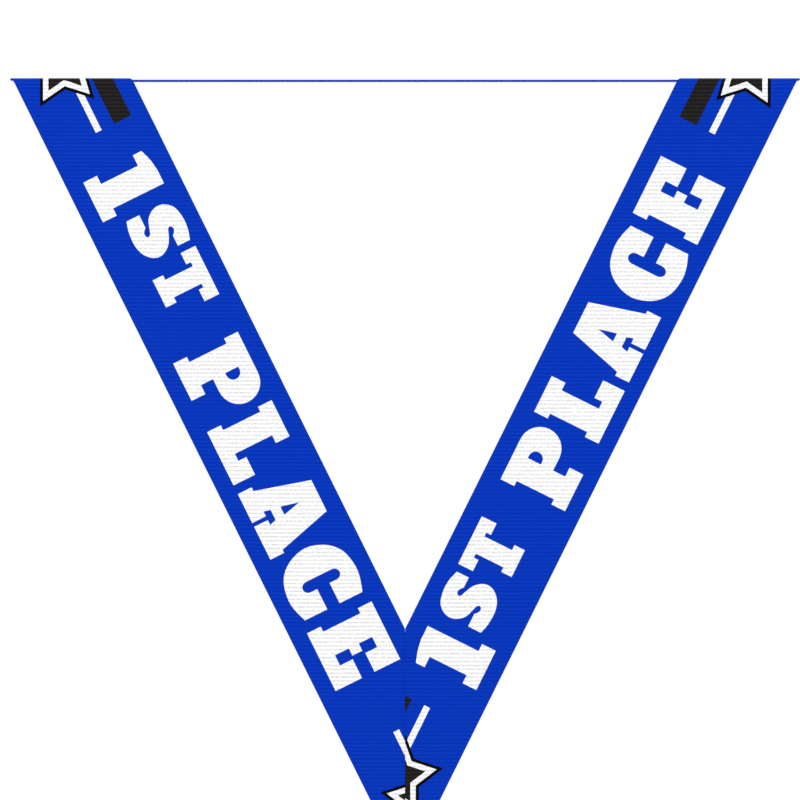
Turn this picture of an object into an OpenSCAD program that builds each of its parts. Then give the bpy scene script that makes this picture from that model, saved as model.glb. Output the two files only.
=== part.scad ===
// Award medal on a wide neck ribbon: a closed ribbon loop with a mitred V, a ring keeper,
// a swivel snap hook and a cast medal. The V hangs in an upright plane, and the neck band
// lies level behind its top. The origin is the middle of the neck band's underside, +Z is up
// and the front of the medal faces -Y. Millimetres.

/* [Ribbon] */
// Width of the ribbon
ribbon_w = 38; // [32:1:40]
// Thickness of the ribbon
ribbon_t = 0.5; // [0.4:0.1:0.6]
// Half of the angle between the two straps of the V
half_angle = 26.4; // [24:0.2:28]
// Height of the opening, from the neck band down to where the straps meet
crotch_drop = 194; // [180:1:220]
// Radius of the bend between the straps and the neck band
bend_r = 2; // [1.5:0.5:3]
// Width of each hem turned back at the mitre seam
hem_w = 6; // [4:1:8]

/* [Ring keeper] */
// Width of the tape tab that holds the triangle ring
tab_w = 13; // [10:1:14]
// Thickness of the wire of the triangle ring
ring_wire = 2.4; // [2:0.2:2.6]
// Length of the straight bar of the triangle ring, between its corners
ring_base = 21.4; // [20:0.2:24]
// Height of the triangle ring before its apex is rounded
ring_height = 20; // [18:1:24]

/* [Snap hook] */
// Diameter of the round bar of the claw
claw_bar = 3.2; // [2.8:0.2:3.4]
// Width across the claw, between the middles of its bars
claw_w = 10; // [10:1:12]
// Thickness of the gate lever
gate_t = 2.6; // [2.2:0.2:2.8]

/* [Medal] */
// Diameter of the cast medal
medal_d = 70; // [64:1:76]
// Thickness of the medal at its rim
medal_t = 4; // [3.6:0.2:5]
// Diameter of the centre insert
insert_d = 50; // [48:1:52]
// Leaves on each side of the laurel wreath
leaf_count = 11; // [8:1:12]
// Wire thickness of the jump ring
jump_wire = 1.8; // [1.6:0.1:2]
// Diameter of the jump ring, between the middles of its wire
jump_d = 11; // [11:0.5:12]

/* [Hidden] */

$fn = 64;
gap = 0.15;                      // clearance between links that hang in each other
slope = tan(half_angle);
strap_hw = ribbon_w / cos(half_angle);        // the strap's width measured level
tip_drop = crotch_drop + strap_hw / slope;    // where the two outer edges would meet

// the bend between straps and neck band
band_front = -ribbon_w / 2;
tangent_y = band_front - 0.5;
bend_z = 1.5 * ribbon_t - bend_r;
strap_y = tangent_y - bend_r;    // middle plane of the V
strap_top = bend_z - 2;          // the straps' CAD solids start a little below the bend
strap_back = strap_y + ribbon_t / 2;
shelf_inner = (crotch_drop + bend_z + bend_r * PI / 2) * slope;
v_end = -tip_drop + 17.5;        // the V is hemmed off level here

// the keeper tab and the triangle ring
ring_r = ring_wire / 2;
keeper_in = ring_r + 0.25;
keeper_out = keeper_in + ribbon_t;
bar_y = strap_back + keeper_out;
bar_z = v_end - 3;
apex_r = 3;
corner_r = 2.5;
apex_half = atan(ring_base / 2 / ring_height);
apex_z = bar_z - ring_height + apex_r * (1 / sin(apex_half) - 1);

// the swivel eye
eye_wire = 1.1;
eye_r = 4.2;
eye_z = apex_z + ring_r + eye_wire + gap - eye_r;
hook_z = eye_z - eye_r - 2.2;    // top of the hook body
stem_r = 1.3;
head_r = 2.1;
barrel_r = 3.6;
barrel_h = 6;

// the claw and its gate
claw_r = claw_bar / 2;
claw_x = claw_w / 2;
claw_z = hook_z - 20;            // centre of the claw's bottom bend
tip_z = claw_z + 1;
pivot_z = hook_z - 9;
pin_r = 0.8;
hook_t = 5;
hub_r = 2.2;
slot_t = gate_t + 0.3;

// the jump ring and the medal
jump_r = jump_wire / 2;
jump_z = claw_z - claw_x + claw_r + jump_r + gap - jump_d / 2;
jump_foot = jump_z - jump_d / 2;
lug_wire = 1.2;
lug_r = 3.4;
lug_z = jump_foot + jump_r + gap + lug_wire - lug_r;
medal_r = medal_d / 2;
medal_z = lug_z - 2.8 - medal_r;
front_y = bar_y - medal_t / 2;
insert_r = insert_d / 2;
recess = 1.6;                    // depth of the recess for the insert
pad_t = 0.3;
disc_t = 0.5;
emblem_t = 0.3;
face_y = front_y + recess - pad_t - disc_t;   // front of the insert disc
back_recess = 0.8;
plate_r = 22;
wreath_r = (medal_r + insert_r) / 2 + 0.1;

// half the width of the V's opening at a height z, which is negative
function opening(z) = (crotch_drop + z) * slope;

// draws a flat outline, given as x and z, as a plate with its back face at y
module upright(y, t) translate([0, y, 0]) rotate([90, 0, 0]) linear_extrude(t) children();

module both_sides() {
    children();
    mirror([1, 0, 0]) children();
}

// a round bar from a to b
module bar(a, b, r) {
    d = b - a;
    translate(a) rotate([0, acos(d.z / norm(d)), atan2(d.y, d.x)]) cylinder(r = r, h = norm(d));
}

// a closed wire loop in the X-Y plane: the corners run anticlockwise, and each has its own bend radius;
// its straight bars are a hair thinner than its bends, and end inside them
module wire_loop(corners, radii, r) {
    n = len(corners);
    function unit(v) = v / norm(v);
    function run_in(i) = unit(corners[i] - corners[(i + n - 1) % n]);
    function run_out(i) = unit(corners[(i + 1) % n] - corners[i]);
    function turn(i) = acos(run_in(i) * run_out(i));
    function cut(i) = radii[i] * tan(turn(i) / 2);
    function left(v) = [-v.y, v.x];
    for (i = [0 : n - 1]) {
        centre = corners[i] - run_in(i) * cut(i) + left(run_in(i)) * radii[i];
        out = -left(run_in(i));
        translate([centre.x, centre.y, 0]) rotate([0, 0, atan2(out.y, out.x)])
            rotate_extrude(angle = turn(i)) translate([radii[i], 0]) circle(r);
        from = corners[i] + run_out(i) * (cut(i) - 0.2);
        to = corners[(i + 1) % n] - run_out(i) * (cut((i + 1) % n) - 0.2);
        bar([from.x, from.y, 0], [to.x, to.y, 0], r - 0.02);
    }
}

// ribbon
// The level part behind the straps: each strap folds under itself at a corner, and crosses to the other.
module neck_band() color("royalblue") {
    outer = shelf_inner + strap_hw;
    fold_front = [outer + (band_front - tangent_y) * slope, band_front];
    fold_back = [shelf_inner + (-band_front - tangent_y) * slope, -band_front];
    linear_extrude(ribbon_t)
        polygon([[-fold_front.x, fold_front.y], fold_front, fold_back, [-fold_back.x, fold_back.y]]);
    both_sides() translate([0, 0, ribbon_t]) linear_extrude(ribbon_t)
        polygon([[shelf_inner, tangent_y], [outer, tangent_y], fold_front, fold_back]);
}

// One strap of the V, on the +X side, with the hem that the mitre seam turns back behind it
module strap() {
    upright(strap_back, ribbon_t) polygon([
        [0, -crotch_drop],
        [opening(strap_top), strap_top],
        [opening(strap_top) + strap_hw, strap_top],
        [opening(v_end) + strap_hw, v_end],
        [0, v_end]]);
    hem_top = -crotch_drop - 8;
    hem_foot = v_end + 18;
    upright(strap_back + ribbon_t, ribbon_t)
        polygon([[0, hem_top], [hem_w, hem_top - hem_w], [hem_w, hem_foot], [0, hem_foot]]);
}

module right_strap() color("royalblue") strap();

module left_strap() color("royalblue") mirror([1, 0, 0]) strap();

// Cross stitches that hold the two hems together, on the back of the seam
module seam_stitches() color("mediumblue") {
    stitch = [2.2, 0.35, 0.6];
    pitch = 3.2;
    first = -crotch_drop - 12;
    for (z = [first : -pitch : v_end + 20])
        translate([-stitch.x / 2, strap_back + ribbon_t, z - stitch.z / 2]) cube(stitch);
}

// keeper tab
// A short tape folded round the ring's bar, with both legs behind the foot of the V
module keeper_tab() color("royalblue") {
    front = strap_back;
    back = bar_y + keeper_in;
    rise = 2.6;
    meet = 8;
    leg = 14;
    translate([-tab_w / 2, 0, 0]) {
        rotate([90, 0, 90]) linear_extrude(tab_w) {
            polygon([[front, bar_z], [front + ribbon_t, bar_z],
                     [front + ribbon_t, bar_z + leg], [front, bar_z + leg]]);
            polygon([[back, bar_z], [back + ribbon_t, bar_z], [back + ribbon_t, bar_z + rise],
                     [front + 2 * ribbon_t, bar_z + meet], [front + 2 * ribbon_t, bar_z + leg - 1],
                     [front + ribbon_t, bar_z + leg - 1], [front + ribbon_t, bar_z + meet - 0.6],
                     [back, bar_z + rise - 0.3]]);
        }
        difference() {
            translate([0, bar_y, bar_z]) rotate([0, 90, 0]) cylinder(r = keeper_out, h = tab_w);
            translate([-1, bar_y, bar_z]) rotate([0, 90, 0]) cylinder(r = keeper_in, h = tab_w + 2);
            translate([-1, bar_y - 5, bar_z]) cube([tab_w + 2, 10, 5]);
        }
    }
}

// Two rows of stitches through the V and the tab, seen on the front and the back
module tab_stitches() color("mediumblue") {
    stitch = [2, 0.35, 0.5];
    for (x = [-4.5 : 3 : 4.5], z = [bar_z + 8.4, bar_z + 9.8])
        for (y = [strap_y - ribbon_t / 2 - stitch.y, strap_back + 2 * ribbon_t])
            translate([x - stitch.x / 2, y, z - stitch.z / 2]) cube(stitch);
}

module triangle_ring() color("silver") translate([0, bar_y, bar_z]) rotate([90, 0, 0])
    wire_loop([[0, -ring_height], [ring_base / 2, 0], [-ring_base / 2, 0]],
              [apex_r, corner_r, corner_r], ring_r);

// snap hook
// The eye turns on its stem, whose riveted head is held inside the hook's barrel.
module swivel_eye() color("silver") translate([0, bar_y, 0]) {
    translate([0, 0, eye_z]) rotate([0, 90, 0])
        rotate_extrude() translate([eye_r, 0]) circle(eye_wire);
    translate([0, 0, hook_z + 0.2]) cylinder(r = 2.7, h = 1.6);
    translate([0, 0, hook_z - 2.3]) cylinder(r = stem_r, h = 2.6);
    translate([0, 0, hook_z - 3.3]) cylinder(r = head_r, h = 1);
}

module hook_body() color("silver") translate([0, bar_y, 0]) difference() {
    union() {
        translate([0, 0, hook_z - barrel_h]) cylinder(r = barrel_r, h = barrel_h);
        upright(hook_t / 2, hook_t) union() {
            for (x = [-claw_x, claw_x]) translate([x, pivot_z]) circle(hub_r);
            translate([-claw_x, pivot_z - hub_r]) square([claw_w, 2 * hub_r]);
            polygon([[-claw_x, pivot_z + hub_r - 0.4], [claw_x, pivot_z + hub_r - 0.4],
                     [barrel_r, hook_z - barrel_h + 1.8], [-barrel_r, hook_z - barrel_h + 1.8]]);
        }
        bar([-claw_x, 0, claw_z], [-claw_x, 0, pivot_z], claw_r);
        translate([0, 0, claw_z]) rotate([90, 0, 0]) rotate([0, 0, 180])
            rotate_extrude(angle = 180) translate([claw_x, 0]) circle(claw_r);
        bar([claw_x, 0, claw_z], [claw_x, 0, tip_z], claw_r);
        translate([claw_x, 0, tip_z]) sphere(claw_r);
    }
    translate([0, 0, hook_z - 3]) cylinder(r = stem_r + 0.08, h = 4);
    translate([0, 0, hook_z - 4]) cylinder(r = head_r + 0.3, h = 2);
    translate([-6, -1.6, hook_z - 4]) cube([12, 3.2, 2]);
    translate([claw_x - hub_r - 0.3, -slot_t / 2, pivot_z - hub_r - 2]) cube([10, slot_t, 2 * hub_r + 2.4]);
    translate([claw_x, 4, pivot_z]) rotate([90, 0, 0]) cylinder(r = pin_r, h = 8);
}

// The lever that closes the claw, with a thumb knob, a hub round its pin and a pocket for the spring
module gate_lever() color("silver") translate([0, bar_y, 0]) difference() {
    foot = tip_z + claw_r + 0.25;
    union() {
        upright(gate_t / 2, gate_t) translate([claw_x, pivot_z]) circle(hub_r - 0.2);
        upright(gate_t / 2, gate_t) translate([claw_x - 1.1, foot]) square([2.2, pivot_z - foot]);
        upright(gate_t / 2, gate_t) polygon([[claw_x, pivot_z - 1.2], [claw_x + 3.6, pivot_z - 2.6],
                                             [claw_x + 3.6, pivot_z - 5], [claw_x, pivot_z - 4.6]]);
        upright(gate_t / 2, gate_t) translate([claw_x + 3.8, pivot_z - 3.8]) circle(1.3);
    }
    translate([claw_x, gate_t, pivot_z]) rotate([90, 0, 0]) cylinder(r = pin_r + 0.08, h = 2 * gate_t);
    translate([claw_x, 0.6, pivot_z]) rotate([90, 0, 0]) cylinder(r = 1.55, h = 1.2);
}

module gate_pin() color("silver") translate([claw_x, bar_y + hook_t / 2 + 0.3, pivot_z])
    rotate([90, 0, 0]) cylinder(r = pin_r, h = hook_t + 0.6);

// Torsion spring round the pin: a helix swept along its own turns
module gate_spring() {
    wire = 0.13;
    coil_r = 1.2;
    turns = 3;
    steps = 16;
    sides = 6;
    pitch = 0.3;
    count = turns * steps;
    function ring_point(i, k) = let (a = i * 360 / steps, b = k * 360 / sides, r = coil_r + wire * cos(b))
        [r * cos(a), (i / count - 0.5) * pitch * turns + wire * sin(b), r * sin(a)];
    points = [for (i = [0 : count], k = [0 : sides - 1]) ring_point(i, k)];
    skin = [for (i = [0 : count - 1], k = [0 : sides - 1])
        let (a = i * sides + k, b = i * sides + (k + 1) % sides) [a, b, b + sides, a + sides]];
    ends = [[for (k = [0 : sides - 1]) sides - 1 - k], [for (k = [0 : sides - 1]) count * sides + k]];
    color("gray") translate([claw_x, bar_y, pivot_z]) polyhedron(points, concat(skin, ends));
}

// medal
// A split ring: its two ends almost meet at the back.
module jump_ring() color("gold") translate([0, bar_y, jump_z]) rotate([0, 90, 0]) rotate([0, 0, 91])
    rotate_extrude(angle = 358) translate([jump_d / 2, 0]) circle(jump_r);

// One leaf of the wreath, as the lens where two circles cross, with its foot at the origin
module leaf(long, wide) {
    r = (long * long / 4 + wide * wide / 4) / wide;
    translate([0, long / 2]) intersection() {
        translate([r - wide / 2, 0]) circle(r);
        translate([wide / 2 - r, 0]) circle(r);
    }
}

// The cast body: lug, rim, floor and laurel wreath in one piece, with recesses front and back
module medal_body() color("gold") {
    translate([0, bar_y, lug_z]) rotate([90, 0, 0])
        rotate_extrude() translate([lug_r, 0]) circle(lug_wire);
    translate([0, bar_y + medal_t / 2, medal_z]) rotate([90, 0, 0]) difference() {
        cylinder(r = medal_r, h = medal_t);
        translate([0, 0, medal_t - recess]) cylinder(r = insert_r + 0.2, h = recess + 1);
        translate([0, 0, medal_t - 1]) difference() {
            cylinder(r = medal_r - 1.6, h = 2);
            translate([0, 0, -1]) cylinder(r = insert_r + 1.4, h = 4);
        }
        translate([0, 0, -1]) cylinder(r = plate_r + 0.2, h = 1 + back_recess);
    }
    first = 16;
    step = (180 - 2 * first) / (leaf_count - 1);
    both_sides() for (i = [0 : leaf_count - 1])
        translate([0, front_y + 1, medal_z]) rotate([90, 0, 0]) linear_extrude(0.8)
            rotate(-90 + first + i * step) translate([wreath_r, 0]) rotate(18) leaf(7, 3.4);
}

// a disc of the medal, given by its radius, thickness and the y of its back face
module medal_disc(r, t, y) translate([0, y, medal_z]) rotate([90, 0, 0]) cylinder(r = r, h = t);

module insert_pad() color("white") medal_disc(insert_r - 0.6, pad_t, front_y + recess);

module insert_disc() color("midnightblue") medal_disc(insert_r, disc_t, front_y + recess - pad_t);

// Raised foil on the insert: a five-pointed star in a ring
module emblem(t) linear_extrude(t) {
    star_r = 17.5;
    notch_r = 8.2;
    polygon([for (i = [0 : 9]) (i % 2 == 0 ? star_r : notch_r) * [cos(90 + i * 36), sin(90 + i * 36)]]);
    difference() {
        circle(21.6);
        circle(20.6);
    }
}

module insert_emblem() color("gold") translate([0, face_y, medal_z]) rotate([90, 0, 0]) emblem(emblem_t);

// The clear epoxy dome, cast over the foil: a straight edge, then the cap of a large sphere
module clear_dome() color("white", 0.4) {
    dome_r = insert_r - 0.2;
    edge = 0.8;
    rise = 1.3;
    sphere_r = (dome_r * dome_r + rise * rise) / (2 * rise);
    steps = 12;
    cap = [for (i = [0 : steps]) let (a = asin(dome_r / sphere_r) * (1 - i / steps))
        [sphere_r * sin(a), edge + rise - sphere_r * (1 - cos(a))]];
    translate([0, face_y, medal_z]) rotate([90, 0, 0]) difference() {
        rotate_extrude() polygon(concat([[0, 0], [dome_r, 0]], cap));
        translate([0, 0, -1]) emblem(1 + emblem_t);
    }
}

module back_pad() color("white") medal_disc(plate_r - 1, pad_t, bar_y + medal_t / 2 - back_recess + pad_t);

module back_plate() color("gold") medal_disc(plate_r, disc_t, bar_y + medal_t / 2);

neck_band();
left_strap();
right_strap();
seam_stitches();
keeper_tab();
tab_stitches();
triangle_ring();
swivel_eye();
hook_body();
gate_lever();
gate_pin();
gate_spring();
jump_ring();
medal_body();
insert_pad();
insert_disc();
insert_emblem();
clear_dome();
back_pad();
back_plate();
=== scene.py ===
import math

import bmesh
import bpy
from mathutils import Matrix, Vector, geometry


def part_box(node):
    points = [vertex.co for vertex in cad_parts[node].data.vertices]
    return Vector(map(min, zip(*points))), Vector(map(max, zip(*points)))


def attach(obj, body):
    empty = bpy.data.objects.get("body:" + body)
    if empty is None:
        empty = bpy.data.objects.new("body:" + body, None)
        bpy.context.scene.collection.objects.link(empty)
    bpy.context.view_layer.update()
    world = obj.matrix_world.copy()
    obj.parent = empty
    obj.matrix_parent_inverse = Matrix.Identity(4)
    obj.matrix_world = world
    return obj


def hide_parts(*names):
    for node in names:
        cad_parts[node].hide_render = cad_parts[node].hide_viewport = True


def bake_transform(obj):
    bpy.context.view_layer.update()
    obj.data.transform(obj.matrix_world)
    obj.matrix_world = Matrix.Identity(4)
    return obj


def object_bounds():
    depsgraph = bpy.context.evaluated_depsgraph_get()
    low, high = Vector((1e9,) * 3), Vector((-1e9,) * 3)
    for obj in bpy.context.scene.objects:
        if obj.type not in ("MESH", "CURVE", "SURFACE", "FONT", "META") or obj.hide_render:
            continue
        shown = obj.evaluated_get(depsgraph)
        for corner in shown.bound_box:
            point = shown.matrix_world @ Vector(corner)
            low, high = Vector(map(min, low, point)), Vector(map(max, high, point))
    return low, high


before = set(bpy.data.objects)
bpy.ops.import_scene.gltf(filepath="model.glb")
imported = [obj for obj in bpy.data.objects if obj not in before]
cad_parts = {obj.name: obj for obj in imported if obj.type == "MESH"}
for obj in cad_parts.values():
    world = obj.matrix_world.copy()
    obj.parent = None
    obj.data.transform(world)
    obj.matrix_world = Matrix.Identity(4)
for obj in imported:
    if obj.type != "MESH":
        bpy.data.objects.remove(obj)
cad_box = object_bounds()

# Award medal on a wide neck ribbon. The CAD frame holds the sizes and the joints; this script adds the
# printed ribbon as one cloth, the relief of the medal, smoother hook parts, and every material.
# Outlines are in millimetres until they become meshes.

MM = 0.001

# ---------------------------------------------------------------- sizes from the frame

HALF_ANGLE = math.radians(26.4)          # of the V, as in the CAD
SIN, COS = math.sin(HALF_ANGLE), math.cos(HALF_ANGLE)
SLOPE = SIN / COS


def corners(node):
    """A node's lowest and highest corner, in millimetres."""
    low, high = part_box(node)
    return Vector(low) / MM, Vector(high) / MM


neck_low, neck_high = corners("neck_band")
strap_low, strap_high = corners("right_strap")
RIBBON_W = 2 * neck_high.y
RIBBON_T = neck_high.z / 2
BEND_R = 4 * RIBBON_T                    # of the ribbon's middle, where the V turns into the neck band
BEND_Y = neck_low.y                      # the bend's axis
BEND_Z = 1.5 * RIBBON_T - BEND_R
BEND_LENGTH = BEND_R * math.pi / 2
STRAP_Y = BEND_Y - BEND_R                # middle plane of the V
STRAP_BACK = STRAP_Y + RIBBON_T / 2
V_END = strap_low.z
TIP_DROP = strap_high.x / SLOPE - strap_high.z    # where the two outer edges would meet
CROTCH = TIP_DROP - RIBBON_W / SIN                # where the two inner edges meet
BAR_Y = (corners("triangle_ring")[0].y + corners("triangle_ring")[1].y) / 2


# ---------------------------------------------------------------- small helpers

def new_piece(name, mesh, material=None):
    """An object in the scene for a mesh."""
    obj = bpy.data.objects.new(name, mesh)
    bpy.context.scene.collection.objects.link(obj)
    if material:
        mesh.materials.append(material)
    return obj


def mesh_from(name, points, faces, smooth_angle=None):
    """A mesh from points in millimetres."""
    mesh = bpy.data.meshes.new(name)
    mesh.from_pydata([Vector(p) * MM for p in points], [], faces)
    mesh.validate()
    mesh.update()
    if smooth_angle is not None:
        mesh.shade_smooth()
        mesh.set_sharp_from_angle(angle=math.radians(smooth_angle))
    return mesh


# ---------------------------------------------------------------- materials

def node_tree(name):
    """A new material's tree, with its shader."""
    material = bpy.data.materials.new(name)
    material.use_nodes = True
    return material, material.node_tree, material.node_tree.nodes["Principled BSDF"]


def add_node(tree, kind, **inputs):
    """A node with some of its inputs set by name."""
    made = tree.nodes.new(kind)
    for key, value in inputs.items():
        made.inputs[key].default_value = value
    return made


def wave_along(tree, uv, axis, pitch_mm, distortion=0.0):
    """A sine that repeats every pitch_mm along one axis of a UV map laid out in metres."""
    wave = tree.nodes.new("ShaderNodeTexWave")
    wave.bands_direction = axis
    wave.inputs["Scale"].default_value = math.pi / 10 / (pitch_mm * MM)
    wave.inputs["Distortion"].default_value = distortion
    wave.inputs["Detail"].default_value = 1.0
    wave.inputs["Detail Scale"].default_value = 1.5
    tree.links.new(uv.outputs["UV"], wave.inputs["Vector"])
    return wave


RIB_PITCH = 1.38
THREAD_PITCH = 0.42


def woven(name, low, high, roughness=0.62, groove=0.22, crown=0.78, uneven=0.35):
    """Ribbed ribbon: level ribs crossed by fine threads, from a darker groove colour to a lighter rib; the
    darker grooves are painted shade, mixed with random tone.
    """
    material, tree, shader = node_tree(name)
    uv = tree.nodes.new("ShaderNodeUVMap")
    uv.uv_map = "weave"
    ribs = wave_along(tree, uv, "Y", RIB_PITCH, 0.35)
    threads = wave_along(tree, uv, "X", THREAD_PITCH, 0.6)
    noise = add_node(tree, "ShaderNodeTexNoise", Scale=1300.0, Detail=3.0, Roughness=0.6)
    tree.links.new(uv.outputs["UV"], noise.inputs["Vector"])

    woven_height = add_node(tree, "ShaderNodeMix", Factor=0.3)
    tree.links.new(ribs.outputs["Fac"], woven_height.inputs["A"])
    tree.links.new(threads.outputs["Fac"], woven_height.inputs["B"])
    height = add_node(tree, "ShaderNodeMix", Factor=uneven)
    tree.links.new(woven_height.outputs["Result"], height.inputs["A"])
    tree.links.new(noise.outputs["Fac"], height.inputs["B"])

    # Painted shade: the colour darkens where the weave is low, between ribs and threads, and lightens on the
    # crowns; the noise share is random tone.
    ramp = tree.nodes.new("ShaderNodeValToRGB")
    ramp.color_ramp.elements[0].position = groove
    ramp.color_ramp.elements[0].color = (*low, 1)
    ramp.color_ramp.elements[1].position = crown
    ramp.color_ramp.elements[1].color = (*high, 1)
    tree.links.new(height.outputs["Result"], ramp.inputs["Fac"])
    tree.links.new(ramp.outputs["Color"], shader.inputs["Base Color"])

    bump = add_node(tree, "ShaderNodeBump", Strength=0.35, Distance=0.0001)
    tree.links.new(height.outputs["Result"], bump.inputs["Height"])
    tree.links.new(bump.outputs["Normal"], shader.inputs["Normal"])
    shader.inputs["Roughness"].default_value = roughness
    shader.inputs["Specular IOR Level"].default_value = 0.03
    shader.inputs["Sheen Weight"].default_value = 0.012
    shader.inputs["Sheen Roughness"].default_value = 0.5
    return material


def metal(name, colour, dark, roughness, scratch_scale=260.0):
    """Plated metal: fine scratches in the polish, and painted shade: a darker tone in the cast hollows, found
    from pointiness.
    """
    material, tree, shader = node_tree(name)
    place = tree.nodes.new("ShaderNodeTexCoord")
    brushed = add_node(tree, "ShaderNodeTexNoise", Scale=scratch_scale, Detail=6.0, Roughness=0.65)
    cloudy = add_node(tree, "ShaderNodeTexNoise", Scale=60.0, Detail=3.0, Roughness=0.5)
    for texture in (brushed, cloudy):
        tree.links.new(place.outputs["Object"], texture.inputs["Vector"])
    edge = tree.nodes.new("ShaderNodeNewGeometry")
    # Painted shade: hollow places, with low pointiness, get the dark colour.
    painted_hollow_shade = tree.nodes.new("ShaderNodeValToRGB")
    painted_hollow_shade.color_ramp.elements[0].position = 0.42
    painted_hollow_shade.color_ramp.elements[0].color = (*dark, 1)
    painted_hollow_shade.color_ramp.elements[1].position = 0.52
    painted_hollow_shade.color_ramp.elements[1].color = (*colour, 1)
    tree.links.new(edge.outputs["Pointiness"], painted_hollow_shade.inputs["Fac"])
    tree.links.new(painted_hollow_shade.outputs["Color"], shader.inputs["Base Color"])
    rough = add_node(tree, "ShaderNodeMapRange")
    rough.inputs["To Min"].default_value = roughness * 0.6
    rough.inputs["To Max"].default_value = roughness * 1.5
    tree.links.new(cloudy.outputs["Fac"], rough.inputs["Value"])
    tree.links.new(rough.outputs["Result"], shader.inputs["Roughness"])
    bump = add_node(tree, "ShaderNodeBump", Strength=0.08, Distance=0.0001)
    tree.links.new(brushed.outputs["Fac"], bump.inputs["Height"])
    tree.links.new(bump.outputs["Normal"], shader.inputs["Normal"])
    shader.inputs["Metallic"].default_value = 1.0
    return material


# Each ink's first colour is painted shade in the weave's grooves, its second the crown's colour.
BLUE = woven("ribbon_blue", (0.0004, 0.0265, 0.425), (0.0012, 0.0445, 0.520))
WHITE = woven("ribbon_white_ink", (0.66, 0.68, 0.70), (1.0, 1.0, 0.99), 0.55, 0.34, 0.50, 0.62)
DARK = woven("ribbon_dark_ink", (0.008, 0.0075, 0.007), (0.021, 0.0195, 0.0185), 0.6)
BLACK = woven("ribbon_black_ink", (0.001, 0.001, 0.0015), (0.003, 0.003, 0.0035), 0.6)
INKS = [BLUE, WHITE, DARK, BLACK]

# Each metal's second colour is the painted shade for its hollows.
NICKEL = metal("nickel_plate", (0.56, 0.56, 0.57), (0.22, 0.22, 0.22), 0.2)
STEEL = metal("drawn_steel", (0.42, 0.42, 0.43), (0.20, 0.20, 0.21), 0.3)
GOLD = metal("gold_plate", (0.86, 0.60, 0.20), (0.36, 0.20, 0.05), 0.2)
BRIGHT_GOLD = metal("gold_foil", (0.93, 0.70, 0.27), (0.55, 0.35, 0.10), 0.14)


def thread(name, colour):
    """Twisted sewing thread: slanted fine plies, with painted shade between them."""
    material, tree, shader = node_tree(name)
    uv = tree.nodes.new("ShaderNodeUVMap")
    uv.uv_map = "weave"
    plies = wave_along(tree, uv, "DIAGONAL", 0.5)
    # Painted shade: the colour drops to 0.6 of the thread's own between the plies.
    tone = tree.nodes.new("ShaderNodeValToRGB")
    tone.color_ramp.elements[0].color = (*(0.6 * c for c in colour), 1)
    tone.color_ramp.elements[1].color = (*colour, 1)
    tree.links.new(plies.outputs["Fac"], tone.inputs["Fac"])
    tree.links.new(tone.outputs["Color"], shader.inputs["Base Color"])
    bump = add_node(tree, "ShaderNodeBump", Strength=0.5, Distance=0.00005)
    tree.links.new(plies.outputs["Fac"], bump.inputs["Height"])
    tree.links.new(bump.outputs["Normal"], shader.inputs["Normal"])
    shader.inputs["Roughness"].default_value = 0.6
    shader.inputs["Specular IOR Level"].default_value = 0.15
    return material


def speckled(name, dark, light, scale, roughness, bump_strength=0.2):
    """A plain material whose tone varies in fine speckles, such as foam or enamel."""
    material, tree, shader = node_tree(name)
    place = tree.nodes.new("ShaderNodeTexCoord")
    grain = add_node(tree, "ShaderNodeTexNoise", Scale=scale, Detail=4.0, Roughness=0.55)
    tree.links.new(place.outputs["Object"], grain.inputs["Vector"])
    tone = tree.nodes.new("ShaderNodeValToRGB")
    tone.color_ramp.elements[0].position = 0.35
    tone.color_ramp.elements[0].color = (*dark, 1)
    tone.color_ramp.elements[1].position = 0.65
    tone.color_ramp.elements[1].color = (*light, 1)
    tree.links.new(grain.outputs["Fac"], tone.inputs["Fac"])
    tree.links.new(tone.outputs["Color"], shader.inputs["Base Color"])
    bump = add_node(tree, "ShaderNodeBump", Strength=bump_strength, Distance=0.0001)
    tree.links.new(grain.outputs["Fac"], bump.inputs["Height"])
    tree.links.new(bump.outputs["Normal"], shader.inputs["Normal"])
    shader.inputs["Roughness"].default_value = roughness
    return material


def sunburst(name, dark, light):
    """Blue foil printed with fine rays from the medal's middle."""
    material, tree, shader = node_tree(name)
    low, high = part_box("insert_disc")
    middle = (Vector(low) + Vector(high)) / 2
    place = tree.nodes.new("ShaderNodeTexCoord")
    shift = add_node(tree, "ShaderNodeMapping", Location=-middle)
    split = tree.nodes.new("ShaderNodeSeparateXYZ")
    turn = tree.nodes.new("ShaderNodeMath")
    turn.operation = "ARCTAN2"
    rays = add_node(tree, "ShaderNodeMath")
    rays.operation = "MULTIPLY"
    rays.inputs[1].default_value = 60
    swing = tree.nodes.new("ShaderNodeMath")
    swing.operation = "SINE"
    tone = tree.nodes.new("ShaderNodeValToRGB")
    tone.color_ramp.elements[0].color = (*dark, 1)
    tone.color_ramp.elements[1].color = (*light, 1)
    tree.links.new(place.outputs["Object"], shift.inputs["Vector"])
    tree.links.new(shift.outputs["Vector"], split.inputs["Vector"])
    tree.links.new(split.outputs["X"], turn.inputs[0])
    tree.links.new(split.outputs["Z"], turn.inputs[1])
    tree.links.new(turn.outputs["Value"], rays.inputs[0])
    tree.links.new(rays.outputs["Value"], swing.inputs[0])
    tree.links.new(swing.outputs["Value"], tone.inputs["Fac"])
    tree.links.new(tone.outputs["Color"], shader.inputs["Base Color"])
    shader.inputs["Metallic"].default_value = 0.25
    shader.inputs["Roughness"].default_value = 0.35
    return material


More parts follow.
